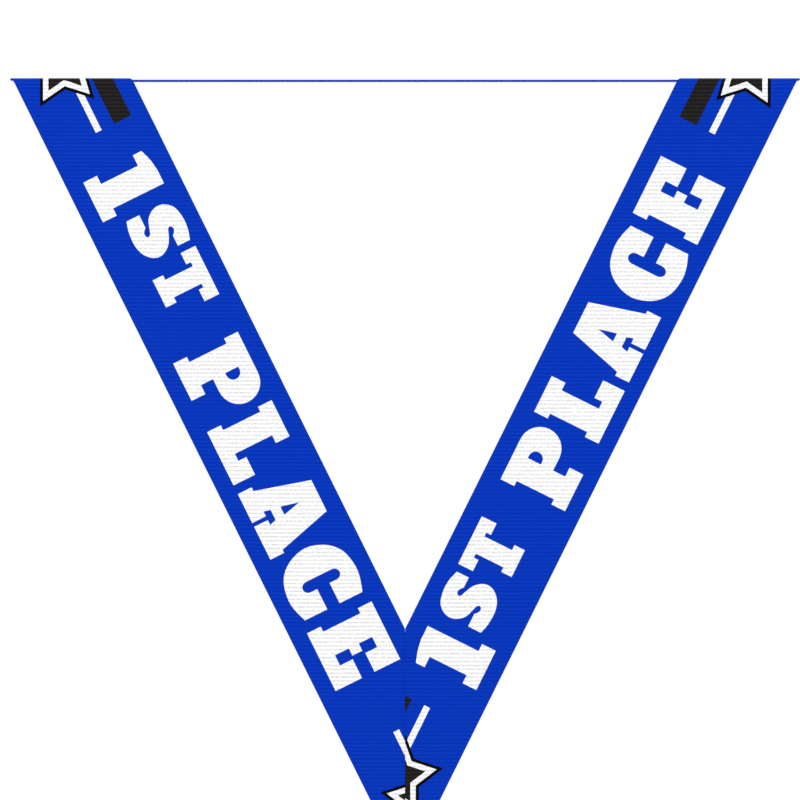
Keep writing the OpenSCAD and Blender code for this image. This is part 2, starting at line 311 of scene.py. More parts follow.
def clear_resin(name):
    """Clear hard resin, with faint ripples in its surface."""
    material, tree, shader = node_tree(name)
    place = tree.nodes.new("ShaderNodeTexCoord")
    ripple = add_node(tree, "ShaderNodeTexNoise", Scale=30.0, Detail=2.0, Roughness=0.4)
    bump = add_node(tree, "ShaderNodeBump", Strength=0.03, Distance=0.0002)
    tree.links.new(place.outputs["Object"], ripple.inputs["Vector"])
    tree.links.new(ripple.outputs["Fac"], bump.inputs["Height"])
    tree.links.new(bump.outputs["Normal"], shader.inputs["Normal"])
    shader.inputs["Base Color"].default_value = (1, 1, 1, 1)
    shader.inputs["Roughness"].default_value = 0.02
    shader.inputs["IOR"].default_value = 1.5
    shader.inputs["Transmission Weight"].default_value = 1.0
    return material


THREAD = thread("blue_thread", (0.004, 0.075, 0.70))
FOAM = speckled("foam_tape", (0.7, 0.7, 0.68), (0.9, 0.9, 0.88), 1500.0, 0.85)
ENAMEL = speckled("blue_enamel", (0.003, 0.02, 0.28), (0.005, 0.03, 0.38), 700.0, 0.3, 0.05)
SUNBURST = sunburst("sunburst_foil", (0.004, 0.03, 0.30), (0.02, 0.14, 0.85))
EPOXY = clear_resin("epoxy_resin")


# ---------------------------------------------------------------- the print

def arc(cx, cy, rx, ry, start, end, steps):
    """Points on part of an ellipse, angles in degrees."""
    turn = [math.radians(start + (end - start) * i / steps) for i in range(steps + 1)]
    return [(cx + rx * math.cos(a), cy + ry * math.sin(a)) for a in turn]


def through(points, steps=4):
    """A smooth curve through a few points."""
    ends = [points[0], *points, points[-1]]
    curve = [points[0]]
    for a, b, c, d in zip(ends, ends[1:], ends[2:], ends[3:]):
        for i in range(1, steps + 1):
            t = i / steps
            curve.append(tuple(
                0.5 * (2 * q + (r - p) * t + (2 * p - 5 * q + 4 * r - s) * t * t
                       + (3 * q - p - 3 * r + s) * t ** 3)
                for p, q, r, s in zip(a, b, c, d)))
    return curve


CAP = 25.5          # height of the tall capitals
SLAB = 5.4          # thickness of their slabs
SERIF = CAP - SLAB
SMALL_BASE = 6.6    # the small capitals stand this far above the tall ones' foot


def figure_one():
    """The slab figure 1."""
    top = through([(8.5, CAP), (4.2, CAP - 0.7), (0, CAP - 2.1)])
    return [[(0.9, 0), (16.4, 0), (16.4, SLAB), (13.6, SLAB), (13.6, CAP), *top,
             (0, SERIF - 0.1), (4.1, SERIF - 0.1), (4.1, SLAB), (0.9, SLAB)]]


def small_s():
    """A small S, about three quarters of the capitals' height."""
    belly = through([(0, 1.2), (3.8, 0.2), (9, 0), (13.2, 1.4), (15.8, 4.4), (16, 7.6), (13.8, 10.8),
                     (10.2, 12.7)])
    upper_eye = through([(9.0, 13.1), (8.2, 13.9), (8.7, 14.8), (9.9, 15.0), (11.0, 14.3), (11.6, 13.7)])
    shoulder = through([(15.6, 18.4), (11.8, 19.5), (7.4, 19.7), (2.8, 18.5), (0.2, 15.2), (0.3, 11.6),
                        (2.6, 8.6), (6.2, 7.2)])
    lower_eye = through([(7.7, 6.7), (8.3, 5.9), (7.8, 5.0), (6.6, 4.9), (5.5, 5.6), (5.0, 6.2)])
    outline = [*belly, *upper_eye, (15.6, 13.7), *shoulder, *lower_eye, (0, 6.2)]
    return [[(x, y + SMALL_BASE - 0.2) for x, y in outline]]


def small_t():
    """A small T, about three quarters of the capitals' height."""
    outline = [(4.2, 0), (14.8, 0), (14.8, 4.1), (12.8, 4.1), (12.8, 15), (14.3, 15), (14.3, 13.2),
               (18.8, 13.2), (18.8, 19), (0, 19), (0, 13.2), (4.4, 13.2), (4.4, 15), (6, 15),
               (6, 4.1), (4.2, 4.1)]
    return [[(x, y + SMALL_BASE) for x, y in outline]]


def letter_p():
    """The slab letter P, with its eye."""
    bowl = arc(15.9, 17.85, 7.7, 7.65, -90, 90, 16)
    eye = [(11, 15), *arc(12, 17.6, 2.6, 2.6, -90, 90, 8), (11, 20.2)]
    return [[(0, 0), (14.5, 0), (14.5, SLAB), (11, SLAB), (11, 10.2), *bowl, (0, CAP),
             (0, SERIF), (2, SERIF), (2, SLAB), (0, SLAB)], eye]


def letter_l():
    """The slab letter L."""
    return [[(0, 0), (20.8, 0), (20.8, 8.5), (13.9, 8.5), (13.9, SLAB), (11.1, SLAB), (11.1, SERIF),
             (14.1, SERIF), (14.1, CAP), (0, CAP), (0, SERIF), (1.9, SERIF), (1.9, SLAB), (0, SLAB)]]


def letter_a():
    """The slab letter A, with its eye."""
    return [[(0, 0), (11.3, 0), (11.3, SLAB), (9.4, SLAB), (10.1, 7.9), (14.0, 7.9), (14.7, SLAB),
             (12.8, SLAB), (12.8, 0), (25.6, 0), (25.6, SLAB), (24.4, SLAB), (19.1, CAP), (7, CAP),
             (1.5, SLAB), (0, SLAB)],
            [(10.5, 11.5), (13.7, 11.5), (12.1, 18.2)]]


def letter_c():
    """The slab letter C."""
    back = through([(22.6, 24.1), (17.5, 25.6), (12.5, 25.9), (6.4, 24.2), (2.0, 19.6), (0, 12.7),
                    (2.0, 5.7), (6.4, 1.1), (12.5, -0.6), (17.5, -0.3), (22.6, 1.4)])
    return [[(22.6, 15.1), *back, (22.6, 10.2), (14.7, 10.2), *arc(12.7, 7.7, 2, 2.2, 0, -180, 8),
             *arc(12.7, 17.9, 2, 2.2, 180, 0, 8), (14.7, 15.1)]]


def letter_e():
    """The slab letter E."""
    return [[(0, 0), (22.5, 0), (22.5, 10.4), (15.2, 10.4), (15.2, SLAB), (11.2, SLAB), (11.2, 10.9),
             (14, 10.9), (14, 14.8), (11.2, 14.8), (11.2, SERIF), (15.2, SERIF), (15.2, 15.4),
             (22.5, 15.4), (22.5, CAP), (0, CAP), (0, SERIF), (2, SERIF), (2, SLAB), (0, SLAB)]]


WORDS = [(0, figure_one), (19.8, small_s), (38.1, small_t), (71.6, letter_p), (98.3, letter_l),
         (122.5, letter_a), (149.9, letter_c), (176.9, letter_e)]


def star(radius):
    """A five-pointed star with one point up."""
    inner = 0.52 * radius
    return [((radius if i % 2 == 0 else inner) * math.cos(math.radians(90 + 36 * i)),
             (radius if i % 2 == 0 else inner) * math.sin(math.radians(90 + 36 * i))) for i in range(10)]


def star_with_bars():
    """The motif: two bars behind a star, as (outline, ink) from the back to the front."""
    reach = 26.8

    def band(low, high):
        return [(-reach, low), (reach, low), (reach, high), (-reach, high)]
    return [(band(0.2, 2.5), WHITE), (band(7.4, 14.2), DARK),
            (star(16.6), BLACK), (star(14.25), WHITE), (star(10.2), DARK)]


def strap_print(text_start, direction, stretch, foot, star_places):
    """The print of one strap as (outline, ink): outlines are in strap coordinates, s up the strap from
    where the V's outer edges would meet and w in from the outer edge. The words run along direction, and
    every outline runs anticlockwise."""
    inks = []
    for place in star_places:
        for outline, ink in star_with_bars():
            inks.append(([(place + direction * u, foot + 11.6 + v) for u, v in outline], ink))
    for offset, letter in WORDS:
        for i, outline in enumerate(letter()):
            along = [(text_start + direction * stretch * (offset + u), foot + v) for u, v in outline]
            inks.append((along, BLUE if i else WHITE))
    return [(outline[::direction], ink) for outline, ink in inks]


PRINTS = {
    "left": strap_print(269.6, -1, 1.0125, 6.2, (18.8, 309.3)),
    "right": strap_print(67.4, 1, 1.0, 5.8, (28.5, 308.9)),
}


# ---------------------------------------------------------------- the ribbon

FOLD_R = RIBBON_T / 2                     # the corner folds over itself this tightly
SHELF_INNER = (CROTCH + BEND_Z + BEND_LENGTH) * SLOPE
LEVEL_SHIFT = BEND_Y - BEND_Z - BEND_LENGTH       # from a height on the unrolled V to a y on the level part
fold_front = Vector((SHELF_INNER + RIBBON_W / COS - (RIBBON_W / 2 + BEND_Y) * SLOPE, -RIBBON_W / 2))
fold_back = Vector((SHELF_INNER + (RIBBON_W / 2 - BEND_Y) * SLOPE, RIBBON_W / 2))
fold_along = (fold_back - fold_front).normalized()
fold_out = Vector((fold_along.y, -fold_along.x))


SEAM_GAP = 0.035                          # half the gap between the straps at the mitre


def unroll(s, w):
    """Strap coordinates to x and height on the V's plane, as if it ran on upwards."""
    return s * SIN - w * COS, s * COS + w * SIN - TIP_DROP


def roll_up(x, height):
    """The reverse of unroll."""
    return x * SIN + (height + TIP_DROP) * COS, (height + TIP_DROP) * SIN - x * COS


def strap_from_level(point):
    """Strap coordinates of a point given on the level part, before it is folded."""
    return roll_up(point.x, point.y - LEVEL_SHIFT)


def wave(s, w):
    """The slight waviness of a hanging ribbon, still at the seam, the bend and beyond."""
    calm = min(1, max(0, (s - 80) / 60)) * min(1, max(0, (285 - s) / 60))
    return calm * (0.22 * math.sin(s / 17) + 0.12 * math.sin(s / 7.3 + w / 12))


def place(side, s, w, out):
    """A point of the ribbon in space: out is its height over the ribbon's middle, on the printed side."""
    x, height = unroll(s, w)
    out -= 0.16 * math.exp(-(x / 0.55) ** 2) if height < -CROTCH + 1 else 0
    x += SEAM_GAP * min(1, max(0, (BEND_Z - height) / 50))
    if height < BEND_Z:
        point = (x, STRAP_Y - out - wave(s, w), height)
    elif height < BEND_Z + BEND_LENGTH:
        turn = (height - BEND_Z) / BEND_R
        point = (x, BEND_Y - (BEND_R + out) * math.cos(turn), BEND_Z + (BEND_R + out) * math.sin(turn))
    else:
        level = Vector((x, height + LEVEL_SHIFT))
        beyond = (level - fold_front).dot(fold_out) + math.pi * FOLD_R / 2
        if beyond <= 0:
            point = (level.x, level.y, RIBBON_T + FOLD_R + out)
        else:
            on_fold = level - fold_out * beyond
            if beyond < math.pi * FOLD_R:
                turn = beyond / FOLD_R
                flat = on_fold + fold_out * (FOLD_R + out) * math.sin(turn)
                point = (flat.x, flat.y, RIBBON_T + (FOLD_R + out) * math.cos(turn))
            else:
                flat = on_fold - fold_out * (beyond - math.pi * FOLD_R)
                point = (flat.x, flat.y, RIBBON_T - FOLD_R - out)
    return point if side == "right" else (-point[0], point[1], point[2])


def rib_place(s, w):
    """Where a point lies in the weave: ribs are level on the V and square across the neck band."""
    x, height = unroll(s, w)
    square = min(1, max(0, (height - BEND_Z - BEND_LENGTH) / (RIBBON_W * 0.8)))
    square = square * square * (3 - 2 * square)
    return x, height * (1 - square) + s * COS * square


def strap_outline():
    """The outline of half the ribbon, from the V's foot to the middle of the neck band."""
    fold_middle = (fold_front + fold_back) / 2
    s_middle = strap_from_level(fold_middle)[0] + fold_middle.x
    seam_foot = roll_up(0, V_END)
    outer_foot = ((V_END + TIP_DROP) / COS, 0)
    return [outer_foot, (s_middle, 0), (s_middle, RIBBON_W), (RIBBON_W / SLOPE, RIBBON_W), seam_foot]


def guide_lines():
    """Lines that the mesh has edges along: across the ribbon, down it, at the seam, the bend and the fold."""
    lines = []
    for i in range(1, 90):
        lines.append(((5.1 * i, -1), (5.1 * i, RIBBON_W + 1)))
    for w in (0.35, 1.2, 8.3, 15.7, 22.9, 29.6, RIBBON_W - 1.2, RIBBON_W - 0.35):
        lines.append(((0, w), (460, w)))
    for x in (0.3, 0.6, 1.0, 1.6):
        lines.append((roll_up(x, V_END - 1), roll_up(x, -CROTCH + 6)))
    for i in range(9):
        height = BEND_Z + BEND_LENGTH * i / 8
        lines.append((roll_up(90, height), roll_up(145, height)))
    for i in range(9):
        aside = (i / 8 - 0.5) * math.pi * FOLD_R * fold_out
        over = fold_along * 2
        ends = (fold_front + aside - over, fold_back + aside + over)
        lines.append(tuple(strap_from_level(end) for end in ends))
    return lines


def half_ribbon(side):
    """The flat half of the ribbon cut along its print: points, triangles and each triangle's ink."""
    points, edges, outlines = [], [], []
    for outline in [strap_outline(), *(shape for shape, _ in PRINTS[side])]:
        first = len(points)
        points += [Vector(p) for p in outline]
        outlines.append(list(range(first, len(points))))
    for a, b in guide_lines():
        edges.append((len(points), len(points) + 1))
        points += [Vector(a), Vector(b)]
    cut = geometry.delaunay_2d_cdt(points, edges, outlines, 0, 1e-4)
    triangles, inks = [], []
    for triangle, inside in zip(cut[2], cut[5]):
        if 0 in inside:
            triangles.append(tuple(triangle))
            top = max(inside)
            inks.append(INKS.index(PRINTS[side][top - 1][1]) if top else 0)
    return [tuple(p) for p in cut[0]], triangles, inks


def make_ribbon():
    """Both halves as one closed cloth, with its print on the outer face."""
    thickness = RIBBON_T - 0.05
    points, faces, inks, weave = [], [], [], []
    for side in ("left", "right"):
        flat, triangles, colours = half_ribbon(side)
        used = sorted({i for triangle in triangles for i in triangle})
        number = {old: i for i, old in enumerate(used)}
        first, count = len(points), len(used)
        mirrored = side == "left"
        for out in (thickness / 2, -thickness / 2):
            for i in used:
                s, w = flat[i]
                selvedge = min(1, 0.45 + min(w, RIBBON_W - w) / 0.7) if s > 80 else 1
                points.append(place(side, s, w, out * selvedge))
                x, rib = rib_place(s, w)
                weave.append((-x if mirrored else x, rib))
        borders = {}
        for triangle, colour in zip(triangles, colours):
            a, b, c = (number[i] for i in triangle)
            if mirrored:
                a, b, c = a, c, b
            faces.append((first + a, first + b, first + c))
            inks.append(colour)
            faces.append((first + count + a, first + count + c, first + count + b))
            inks.append(0)
            for edge in ((a, b), (b, c), (c, a)):
                borders[edge] = edge[::-1] not in borders
                if not borders[edge]:
                    borders[edge[::-1]] = False
        for (a, b), open_edge in borders.items():
            if open_edge and not on_middle(points[first + a], points[first + b]):
                faces.append((first + b, first + a, first + count + a, first + count + b))
                inks.append(0)
    mesh = mesh_from("ribbon", points, faces)
    for ink in INKS:
        mesh.materials.append(ink)
    mesh.polygons.foreach_set("material_index", inks)
    layer = mesh.uv_layers.new(name="weave")
    for loop in mesh.loops:
        x, rib = weave[loop.vertex_index]
        layer.data[loop.index].uv = (x * MM, rib * MM)
    build = bmesh.new()
    build.from_mesh(mesh)
    bmesh.ops.remove_doubles(build, verts=build.verts, dist=0.004 * MM)
    build.to_mesh(mesh)
    build.free()
    mesh.shade_smooth()
    mesh.set_sharp_from_angle(angle=math.radians(50))
    return new_piece("ribbon", mesh)


def on_middle(a, b):
    """Whether an edge lies where the two halves meet in the middle of the loop."""
    return abs(a[0]) < 0.01 and abs(b[0]) < 0.01


ribbon = make_ribbon()
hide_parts("neck_band", "left_strap", "right_strap")
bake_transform(ribbon)


# ---------------------------------------------------------------- hems, stitches and the keeper tab

RING_R = (corners("triangle_ring")[1].y - corners("triangle_ring")[0].y) / 2
BAR_Z = corners("triangle_ring")[1].z - RING_R
TAB_W = corners("keeper_tab")[1].x * 2


def lay_weave(mesh, across=0, along=2):
    """Adds the weave map to a cloth mesh, from two of its own axes."""
    layer = mesh.uv_layers.new(name="weave")
    for loop in mesh.loops:
        point = mesh.vertices[loop.vertex_index].co
        layer.data[loop.index].uv = (point[across], point[along])


def make_hem(side):
    """The strap's end, turned back behind the whole mitre: a flat strip with a slanted top and soft edges."""
    width, soft = 6, 0.12
    top, foot = -CROTCH - 1, BAR_Z + 14.1
    outline = [(0, top), (0, foot), (width, foot), (width, top - width)]
    middle = Vector((width / 2, (top + foot) / 2))
    rings = []
    for inset, y in ((soft, STRAP_BACK), (0, STRAP_BACK + soft), (0, STRAP_BACK + RIBBON_T - soft),
                     (soft, STRAP_BACK + RIBBON_T)):
        ring = []
        for x, z in outline:
            x -= inset * (x > middle.x)
            z -= inset * math.copysign(1, z - middle.y)
            ring.append((x if side == "right" else -x, y, z))
        rings.append(ring)
    points = [point for ring in rings for point in ring]
    faces = [(4 * k + i, 4 * k + (i + 1) % 4, 4 * k + 4 + (i + 1) % 4, 4 * k + 4 + i)
             for k in range(3) for i in range(4)]
    faces += [(3, 2, 1, 0), (12, 13, 14, 15)]
    if side == "right":
        faces = [face[::-1] for face in faces]
    mesh = mesh_from(f"{side}_hem", points, faces, 60)
    lay_weave(mesh)
    hem = new_piece(f"{side}_hem", mesh, BLUE)
    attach(hem, "v_ribbon")


def make_stitches(name, node, stitches):
    """Short raised thread stitches, given as (middle, length, tilt in degrees)."""
    build = bmesh.new()
    for middle, length, tilt in stitches:
        shape = (Matrix.Translation(Vector(middle) * MM) @ Matrix.Rotation(math.radians(tilt), 4, "Y")
                 @ Matrix.Diagonal((length / 2 * MM, 0.2 * MM, 0.26 * MM, 1)))
        bmesh.ops.create_uvsphere(build, u_segments=10, v_segments=8, radius=1, matrix=shape)
    mesh = bpy.data.meshes.new(name)
    build.to_mesh(mesh)
    build.free()
    mesh.shade_smooth()
    lay_weave(mesh, 2, 0)
    piece = new_piece(name, mesh, THREAD)
    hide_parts(node)
    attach(piece, "v_ribbon")


def seam_stitches():
    """A zigzag across the two hems, on the back."""
    count = 22
    top, foot = corners("seam_stitches")[1].z, corners("seam_stitches")[0].z
    step = (top - foot) / count
    return [((0, STRAP_BACK + RIBBON_T + 0.05, top - step * (i + 0.5)), 2.6, 34 if i % 2 else -34)
            for i in range(count)]


def tab_stitches():
    """Two rows through the V and the tab, front and back."""
    return [((x * 2.1, y, BAR_Z + z), 1.9, 0) for x in (-2, -1, 0, 1, 2) for z in (8.4, 9.8)
            for y in (STRAP_Y - RIBBON_T / 2 + 0.02, STRAP_BACK + 2 * RIBBON_T - 0.02)]


def make_keeper_tab():
    """A tape folded round the ring's bar: both legs lie behind the V's foot."""
    t = RIBBON_T
    loop_r = BAR_Y - STRAP_BACK - t / 2
    bend = arc(BAR_Y, BAR_Z, loop_r, loop_r, 180, 360, 18)
    rise = through([(BAR_Y + loop_r, BAR_Z + 2.4), (BAR_Y + loop_r - 0.5, BAR_Z + 4.6),
                    (STRAP_BACK + 1.5 * t, BAR_Z + 7.7), (STRAP_BACK + 1.5 * t, BAR_Z + 13)], 5)
    path = [Vector(p) for p in [(STRAP_BACK + t / 2, BAR_Z + 14), (STRAP_BACK + t / 2, BAR_Z + 7),
                                *bend, *rise]]
    half = TAB_W / 2
    section = [(-half, -0.1), (-half + 0.15, -0.22), (half - 0.15, -0.22), (half, -0.1),
               (half, 0.1), (half - 0.15, 0.22), (-half + 0.15, 0.22), (-half, 0.1)]
    points, lengths, run = [], [], 0
    for i, point in enumerate(path):
        ahead = (path[min(i + 1, len(path) - 1)] - path[max(i - 1, 0)]).normalized()
        normal = Vector((-ahead.y, ahead.x))
        run += (point - path[i - 1]).length if i else 0
        for x, out in section:
            spot = point + normal * out
            points.append((x, spot.x, spot.y))
            lengths.append(run)
    n = len(section)
    faces = [(n * k + i, n * k + (i + 1) % n, n * k + n + (i + 1) % n, n * k + n + i)
             for k in range(len(path) - 1) for i in range(n)]
    faces += [tuple(range(n))[::-1], tuple(range(n * (len(path) - 1), n * len(path)))]
    mesh = mesh_from("keeper_tab_cloth", points, faces, 60)
    layer = mesh.uv_layers.new(name="weave")
    for loop in mesh.loops:
        layer.data[loop.index].uv = (points[loop.vertex_index][0] * MM, lengths[loop.vertex_index] * MM)
    build = bmesh.new()
    build.from_mesh(mesh)
    bmesh.ops.recalc_face_normals(build, faces=build.faces)
    build.to_mesh(mesh)
    build.free()
    tab = new_piece("keeper_tab_cloth", mesh, BLUE)
    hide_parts("keeper_tab")
    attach(tab, "v_ribbon")


for side in ("left", "right"):
    make_hem(side)
make_stitches("seam_thread", "seam_stitches", seam_stitches())
make_stitches("tab_thread", "tab_stitches", tab_stitches())
make_keeper_tab()


# ---------------------------------------------------------------- hardware

def cast_copy(node, name, body, voxel, rounds):
    """A rounded, die-cast version of a CAD node: the same shape with its edges softened."""
    source = new_piece(name + "_source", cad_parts[node].data.copy())
    source.data.materials.clear()
    remesh = source.modifiers.new("remesh", "REMESH")
    remesh.mode = "VOXEL"
    remesh.voxel_size = voxel * MM
    smooth = source.modifiers.new("smooth", "SMOOTH")
    smooth.factor = 0.5
    smooth.iterations = rounds
    evaluated = source.evaluated_get(bpy.context.evaluated_depsgraph_get())
    mesh = bpy.data.meshes.new_from_object(evaluated)
    bpy.data.objects.remove(source)
    mesh.name = name
    mesh.shade_smooth()
    piece = new_piece(name, mesh, NICKEL)
    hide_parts(node)
    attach(piece, body)


cast_copy("hook_body", "cast_hook", "hook", 0.11, 6)
cast_copy("gate_lever", "cast_gate", "gate", 0.1, 5)


# ---------------------------------------------------------------- medal

medal_low, medal_high = corners("medal_body")
insert_low, insert_high = corners("insert_disc")
MEDAL_R = medal_high.x
MEDAL_Z = medal_low.z + MEDAL_R
FRONT = medal_low.y                       # y of the rim's front
BACK = medal_high.y
INSERT_R = insert_high.x
PLATE_R = corners("back_plate")[1].x
RECESS = corners("insert_pad")[1].y - FRONT
BACK_RECESS = BACK - corners("back_pad")[0].y
FACE_Y = insert_low.y                     # front of the insert disc
LUG_WIRE = 1.2
LUG_R = 3.4
WREATH_R = (MEDAL_R + INSERT_R) / 2 + 0.1


def wreath_leaves():
    """The leaves of both branches as (foot, direction, length, width), in the medal's own plane."""
    leaves = []
    sprigs = 17
    for side in (-1, 1):
        for i in range(sprigs):
            angle = math.radians(-90 + side * (9 + i * 151 / (sprigs - 1)))
            along = Vector((-math.sin(angle), math.cos(angle))) * side
            for splay, aside, length, width in ((31, 0.2, 5.2, 2.2), (-31, -0.2, 5.2, 2.2), (0, 0, 6, 2.1)):
                turn = Matrix.Rotation(math.radians(splay * side), 2)
                foot = Vector((math.cos(angle), math.sin(angle))) * (WREATH_R - aside)
                leaves.append((foot, turn @ along, length, width))
    return leaves


def leaf_height(leaf, point):
    """How high a leaf stands at a point: a crowned blade with a groove down its middle."""
    foot, direction, length, width = leaf
    reach = point - foot
    a = reach.dot(direction) / length
    if not 0 < a < 1:
        return 0
    b = direction.x * reach.y - direction.y * reach.x
    half = width / 2 * math.sin(math.pi * a ** 0.8)
    if abs(b) >= half:
        return 0
    crown = math.sqrt(1 - (b / half) ** 2)
    return (0.34 + 0.42 * a) * crown - 0.13 * math.exp(-(b / 0.13) ** 2) * crown


def small_star_height(point):
    """A faceted star at the head of the wreath."""
    reach = point - Vector((0, WREATH_R))
    radius = reach.length
    sector = math.radians(36)
    turn = abs((math.atan2(reach.x, reach.y) + sector) % (2 * sector) - sector)
    edge = 2.9 * 0.4 * math.sin(sector) / (0.4 * math.sin(sector - turn) + math.sin(turn))
    return max(0, 0.8 * (1 - radius / edge)) if radius < edge else 0


def knot_height(point):
    """Three berries where the branches meet."""
    height = 0
    for x in (-1.9, 0, 1.9):
        reach = (point - Vector((x, -math.sqrt(WREATH_R ** 2 - x * x)))).length
        height = max(height, 0.8 * math.sqrt(max(0, 1 - (reach / 0.95) ** 2)))
    return height


def relief(angle, r, leaves):
    """Height of the annulus over its sunk field, at a place on the medal's front."""
    rope = 0.16 * math.sin(90 * angle + 2.2 * (r - MEDAL_R))
    outer = min(1, max(0, (r - MEDAL_R + 2.1) / 0.5))
    crown = 1 - min(1, abs(r - MEDAL_R + 0.8) / 0.8) ** 2
    rim = outer * (0.78 + crown * (0.18 + rope * 0.5))
    inner = min(1, max(0, (INSERT_R + 1.5 - r) / 0.4)) * 0.95
    if rim or inner:
        return max(rim, inner)
    point = Vector((r * math.cos(angle), r * math.sin(angle)))
    near = [leaf for leaf in leaves if (leaf[0] - point).length < 6]
    return max([leaf_height(leaf, point) for leaf in near] + [small_star_height(point), knot_height(point)])


def make_medal_body():
    """The cast body turned about its axis: recess, inner rim, wreath, rope rim, reeded edge and back."""
    turns = 1152
    field = FRONT + 1
    floor = FRONT + RECESS
    leaves = wreath_leaves()
    radii = [INSERT_R + 0.2 + (MEDAL_R - INSERT_R - 0.5) * i / 56 for i in range(57)]
    points, faces = [], []
    for k in range(turns):
        angle = 2 * math.pi * k / turns
        reed = 0.12 * (k % 8 < 4)
        profile = [(INSERT_R * 0.5, floor), (INSERT_R + 0.2, floor)]
        profile += [(r, field - relief(angle, r, leaves)) for r in radii]
        ray = 0.16 * abs(math.sin(48 * angle))
        profile += [(MEDAL_R - 0.08 - reed, FRONT + 0.5), (MEDAL_R - 0.08 - reed, BACK - 0.5),
                    (MEDAL_R - 0.3, BACK - 0.1), (MEDAL_R - 0.5, BACK), (MEDAL_R - 1.5, BACK),
                    (MEDAL_R - 1.6, BACK - 0.04), (MEDAL_R - 1.9, BACK - 0.4), (MEDAL_R - 2, BACK - 0.42),
                    (MEDAL_R - 2.6, BACK - 0.42 + ray), (PLATE_R + 2.4, BACK - 0.42 + ray),
                    (PLATE_R + 1.6, BACK - 0.42), (PLATE_R + 1.5, BACK - 0.4), (PLATE_R + 1.2, BACK - 0.04),
                    (PLATE_R + 1.1, BACK), (PLATE_R + 0.2, BACK),
                    (PLATE_R + 0.2, BACK - BACK_RECESS), (PLATE_R * 0.5, BACK - BACK_RECESS)]
        points += [(r * math.cos(angle), y, MEDAL_Z + r * math.sin(angle)) for r, y in profile]
    n = len(points) // turns
    for k in range(turns):
        after = (k + 1) % turns
        faces += [(k * n + j, k * n + j + 1, after * n + j + 1, after * n + j) for j in range(n - 1)]
    for ring, y in ((0, floor), (n - 1, BACK - BACK_RECESS)):
        points.append((0, y, MEDAL_Z))
        middle = len(points) - 1
        rim = [k * n + ring for k in range(turns)]
        pairs = zip(rim, rim[1:] + rim[:1])
        faces += [(middle, a, b) if ring == 0 else (middle, b, a) for a, b in pairs]
    mesh = mesh_from("cast_medal", points, faces, 55)
    return new_piece("cast_medal", mesh, GOLD)


def make_lug():
    """The round eye on the medal's top edge, with a small collar each side where it grows from the rim."""
    centre = (0, BAR_Y * MM, (medal_high.z - LUG_R - LUG_WIRE) * MM)
    build = bmesh.new()
    turns, sides = 64, 24
    ring = []
    for i in range(turns):
        a = 2 * math.pi * i / turns
        row = []
        for k in range(sides):
            b = 2 * math.pi * k / sides
            r = LUG_R + LUG_WIRE * math.cos(b) * (1 + 0.12 * max(0, -math.sin(a)))
            point = Vector((r * math.sin(a), LUG_WIRE * math.sin(b), r * math.cos(a))) * MM
            row.append(build.verts.new(point + Vector(centre)))
        ring.append(row)
    for i in range(turns):
        for k in range(sides):
            j, m = (i + 1) % turns, (k + 1) % sides
            build.faces.new((ring[i][k], ring[i][m], ring[j][m], ring[j][k]))
    bmesh.ops.recalc_face_normals(build, faces=build.faces)
    mesh = bpy.data.meshes.new("cast_lug")
    build.to_mesh(mesh)
    build.free()
    mesh.shade_smooth()
    return new_piece("cast_lug", mesh, GOLD)


def turned(name, profile, material, turns=160):
    """A body turned about the medal's axis from a profile of (radius, y) that starts and ends on the axis."""
    points, faces = [], []
    inner = profile[1:-1]
    n = len(inner)
    for k in range(turns):
        a = 2 * math.pi * k / turns
        points += [(r * math.cos(a), y, MEDAL_Z + r * math.sin(a)) for r, y in inner]
    points += [(0, profile[0][1], MEDAL_Z), (0, profile[-1][1], MEDAL_Z)]
    for k in range(turns):
        after = (k + 1) % turns
        faces += [(k * n + j, k * n + j + 1, after * n + j + 1, after * n + j) for j in range(n - 1)]
        faces.append((turns * n, k * n, after * n))
        faces.append((turns * n + 1, after * n + n - 1, k * n + n - 1))
    return new_piece(name, mesh_from(name, points, faces, 40), material)


def make_dome():
    """The epoxy: a short edge, a rounded shoulder and a shallow cap."""
    base = FACE_Y + 0.1                    # bonded into the disc's face
    top = corners("clear_dome")[0].y
    radius = corners("clear_dome")[1].x
    rise = base - top
    edge = 0.38 * rise
    cap = [(radius * math.sin(math.radians(a)), base - edge - (rise - edge) * math.cos(math.radians(a)))
           for a in range(0, 91, 3)]
    return turned("epoxy_dome", [*cap, (radius, base - 0.05), (radius - 0.05, base), (0, base)], EPOXY)


def raised(build, outline, height, base):
    """Adds an upright-sided plateau to a mesh: an outline in the medal's plane, raised towards the front."""
    rows = [[build.verts.new(Vector((x, base - up, z + MEDAL_Z)) * MM) for x, z in outline]
            for up in (0, height * 0.5, height)]
    n = len(outline)
    for low, high in zip(rows, rows[1:]):
        for i in range(n):
            build.faces.new((low[i], low[(i + 1) % n], high[(i + 1) % n], high[i]))
    build.faces.new(rows[-1])
    build.faces.new(rows[0][::-1])


